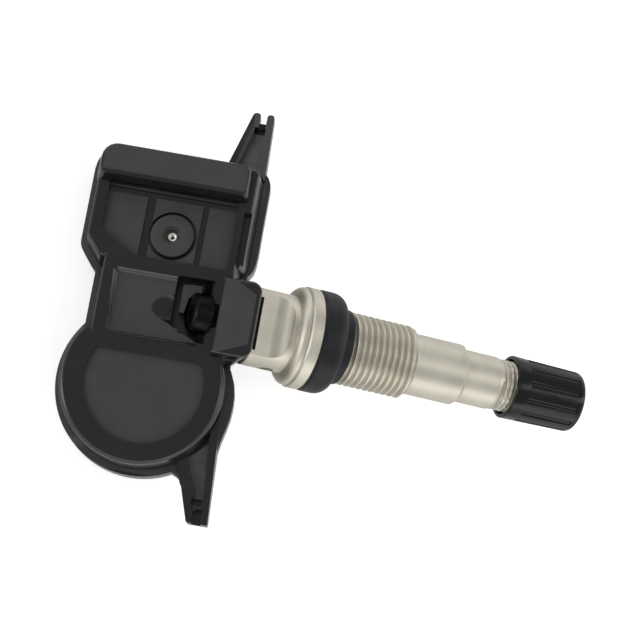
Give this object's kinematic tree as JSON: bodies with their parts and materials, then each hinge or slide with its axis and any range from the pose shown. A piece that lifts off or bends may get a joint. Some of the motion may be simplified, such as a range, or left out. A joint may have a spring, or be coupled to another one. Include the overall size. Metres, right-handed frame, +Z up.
{
  "type": "tyre pressure sensor",
  "caption": "Clamp-in tyre pressure sensor: moulded transmitter housing with support legs, screwed to a threaded metal valve stem with rubber grommet and fluted valve cap.",
  "frame": {"origin": "on the valve stem's axis, at the grommet face that seals against the inside of the rim", "axes": "+X along the valve stem, outwards through the rim to the cap; +Z up on the marked side of the housing, whose floor slopes 20.5 degrees to the stem; +Y towards the sensor compartment and its support leg"},
  "size_m": [0.0793, 0.0629, 0.0235],
  "materials": {
    "cover_plastic": "fine satin moulded texture on the marked faces, smoother edges",
    "tray_plastic": "satin moulded plastic with glossy edges",
    "cap_plastic": "satin",
    "seal_rubber": "matt",
    "grommet_rubber": "smooth, slightly shiny",
    "stem_metal": "satin nickel-plated, turned",
    "bright_metal": "bright",
    "tab_metal": "tinned",
    "spring_steel": "drawn wire",
    "black_steel": "black coated",
    "core_brass": "turned",
    "board": "solder resist",
    "chip_plastic": "moulded",
    "chip_ceramic": "fired",
    "ferrite": "matt",
    "copper_wire": "enamelled winding"
  },
  "bodies": {
    "sensor": {"upper_housing": "cover_plastic", "base_housing": "tray_plastic", "port_disc": "cover_plastic", "port_insert": "bright_metal", "port_seal": "seal_rubber", "circuit_board": "board", "coin_cell": "bright_metal", "cell_tab_top": "tab_metal", "cell_tab_bottom": "tab_metal", "pressure_chip": "chip_ceramic", "radio_chip": "chip_plastic", "crystal": "bright_metal", "capacitors": "chip_ceramic", "coil_core": "ferrite", "coil_winding": "copper_wire", "antenna_loop": "tab_metal", "fixing_screw": "black_steel", "valve_stem": "stem_metal", "sealing_grommet": "grommet_rubber", "core_plug": "core_brass", "core_barrel": "core_brass", "core_gasket": "seal_rubber", "core_spring": "spring_steel"},
    "core_pin": {"core_pin": "core_brass", "core_seal": "seal_rubber"},
    "cap_seal": {"cap_seal": "seal_rubber"},
    "valve_cap": {"valve_cap": "cap_plastic"}
  },
  "joints": [
    {"name": "core_pin_press", "type": "slide", "parent": "sensor", "child": "core_pin", "axis": [-1, 0, 0], "range_m": [0, 0.0012], "stiffness_N_per_m": 800, "springref_m": -0.004, "deforming": ["core_spring"]},
    {"name": "cap_travel", "type": "slide", "parent": "sensor", "child": "cap_seal", "axis": [1, 0, 0], "range_m": [0, 0.00635]},
    {"name": "cap_turn", "type": "hinge", "parent": "cap_seal", "child": "valve_cap", "pos_m": [0.034, 0, 0], "axis": [1, 0, 0], "range_deg": [0, 2880]}
  ],
  "couplings": [
    {"joint": "cap_turn", "follows": "cap_travel", "rad_per_m": 7913.3}
  ]
}
